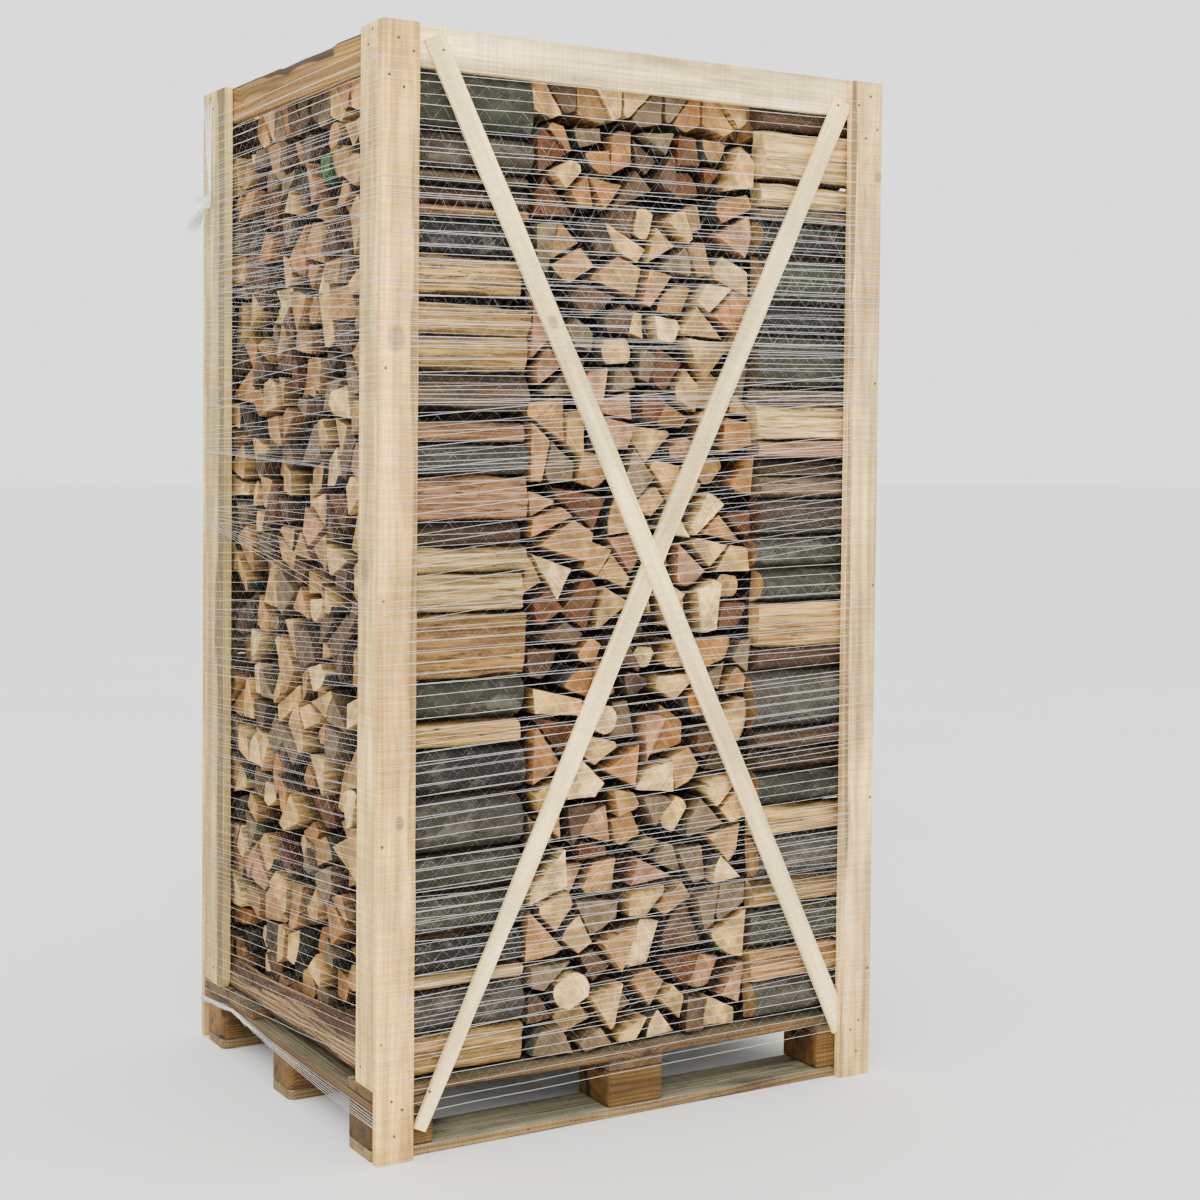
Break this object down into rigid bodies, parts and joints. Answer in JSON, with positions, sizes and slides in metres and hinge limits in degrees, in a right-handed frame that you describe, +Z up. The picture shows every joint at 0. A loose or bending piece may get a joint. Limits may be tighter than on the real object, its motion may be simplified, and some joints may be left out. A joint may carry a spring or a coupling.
{
  "type": "pallet of firewood",
  "caption": "Tall open crate of stacked split firewood on a four-way pallet, with corner posts, top rails, crossed laths and a knitted net wrapped round it.",
  "frame": {"origin": "centre of the middle skid's underside, on the floor under the crate's middle", "axes": "+Z up, X along the long sides, the braced front faces -Y, the side seen at the left in the picture faces -X"},
  "size_m": [1.2578, 1.0106, 2.2],
  "materials": {
    "beech": "split and bark-covered beech, rough, dry",
    "pine": "pale sawn softwood, matte",
    "rough_slab": "rough slab board with strips of red-brown bark",
    "pallet_wood": "ochre sawn softwood, a little dirty",
    "weathered": "weathered grey and green boards with light cut edges",
    "laths": "fresh cream sawn laths, matte",
    "net": "white knitted plastic net, slightly glossy strands"
  },
  "bodies": {
    "root": {"block_back_left": "pallet_wood", "block_back_middle": "pallet_wood", "block_back_right": "pallet_wood", "block_front_left": "pallet_wood", "block_front_middle": "pallet_wood", "block_front_right": "pallet_wood", "block_middle_left": "pallet_wood", "block_middle_middle": "pallet_wood", "block_middle_right": "pallet_wood", "cross_board_left": "pallet_wood", "cross_board_middle": "pallet_wood", "cross_board_right": "pallet_wood", "deck_board_1": "weathered", "deck_board_2": "weathered", "deck_board_3": "weathered", "deck_board_4": "weathered", "deck_board_5": "weathered", "lath_back_falling": "laths", "lath_back_rising": "laths", "lath_front_falling": "laths", "lath_front_rising": "laths", "logs_left": "beech", "logs_middle": "beech", "logs_right": "beech", "low_rail_left": "rough_slab", "low_rail_right": "rough_slab", "net": "net", "post_back_left_back_board": "pine", "post_back_left_side_board": "pine", "post_back_right_back_board": "pine", "post_back_right_side_board": "pine", "post_front_left_front_board": "pine", "post_front_left_side_board": "pine", "post_front_right_front_board": "pine", "post_front_right_side_board": "pine", "skid_back": "weathered", "skid_front": "weathered", "skid_middle": "weathered", "top_rail_back": "pine", "top_rail_front": "pine", "top_rail_left": "pine", "top_rail_right": "pine"}
  },
  "joints": []
}
